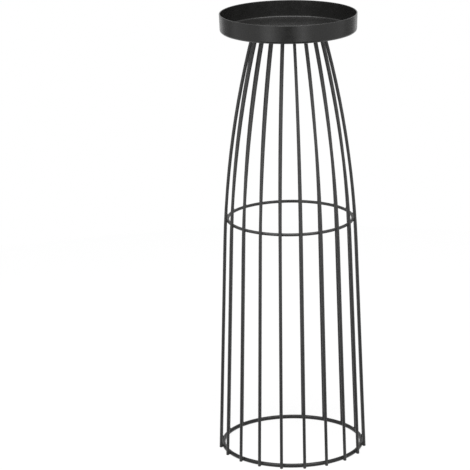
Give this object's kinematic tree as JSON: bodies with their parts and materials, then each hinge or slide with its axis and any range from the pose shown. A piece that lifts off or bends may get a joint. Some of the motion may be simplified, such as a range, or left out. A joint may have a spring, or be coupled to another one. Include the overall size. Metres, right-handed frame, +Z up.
{
  "type": "candle holder",
  "caption": "Tall candle stand: a shallow round tray on a bell-shaped cage of welded black steel wires with a middle ring and a base ring.",
  "frame": {"origin": "on the table at the middle of the cage", "axes": "+Z up, -Y to the front (a gap between two wires faces front), +X to the right"},
  "size_m": [0.165, 0.165, 0.495],
  "materials": {
    "powder_coat": "satin black powder coat with a fine texture"
  },
  "bodies": {
    "root": {"tray": "powder_coat", "top_ring": "powder_coat", "middle_ring": "powder_coat", "base_ring": "powder_coat", "wire_01": "powder_coat", "wire_02": "powder_coat", "wire_03": "powder_coat", "wire_04": "powder_coat", "wire_05": "powder_coat", "wire_06": "powder_coat", "wire_07": "powder_coat", "wire_08": "powder_coat", "wire_09": "powder_coat", "wire_10": "powder_coat", "wire_11": "powder_coat", "wire_12": "powder_coat", "wire_13": "powder_coat", "wire_14": "powder_coat", "wire_15": "powder_coat", "wire_16": "powder_coat", "wire_17": "powder_coat", "wire_18": "powder_coat", "wire_19": "powder_coat", "wire_20": "powder_coat"}
  },
  "joints": []
}
